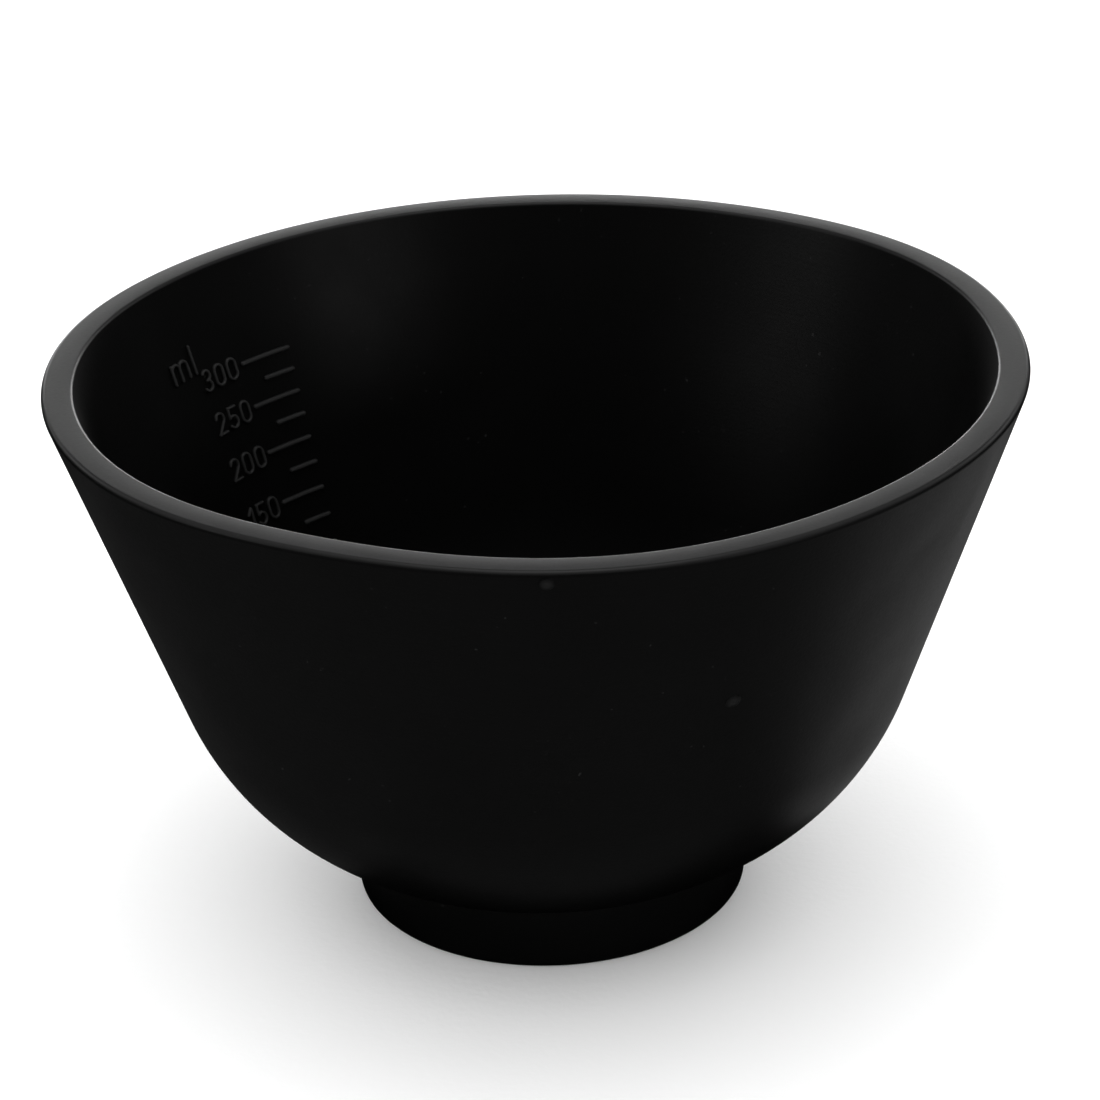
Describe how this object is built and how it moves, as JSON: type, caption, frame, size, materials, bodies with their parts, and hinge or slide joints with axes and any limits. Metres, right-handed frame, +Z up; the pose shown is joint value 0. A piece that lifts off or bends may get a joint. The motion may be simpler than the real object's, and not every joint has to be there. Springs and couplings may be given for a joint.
{
  "type": "hair color mixing bowl",
  "caption": "Flexible black rubber mixing bowl for hair colour: straight-flared wall, thick flat rim, short foot ring, and a raised measuring scale inside.",
  "frame": {"origin": "centre of the foot ring's resting face, on the bowl's axis", "axes": "+Z up along the bowl's axis, towards the open mouth; -Y is the front that the scale faces; +X is to the right seen from the front"},
  "size_m": [0.1225, 0.1225, 0.0735],
  "materials": {
    "black_rubber": "satin, as moulded",
    "scale_relief": "satin, as moulded, in relief"
  },
  "bodies": {
    "root": {"rim_band": "black_rubber", "upper_wall": "black_rubber", "lower_wall": "black_rubber", "bowl_floor": "black_rubber", "foot_ring": "black_rubber", "scale_long_marks": "scale_relief", "scale_short_marks": "scale_relief", "scale_numerals": "scale_relief", "scale_unit_label": "scale_relief"}
  },
  "joints": []
}
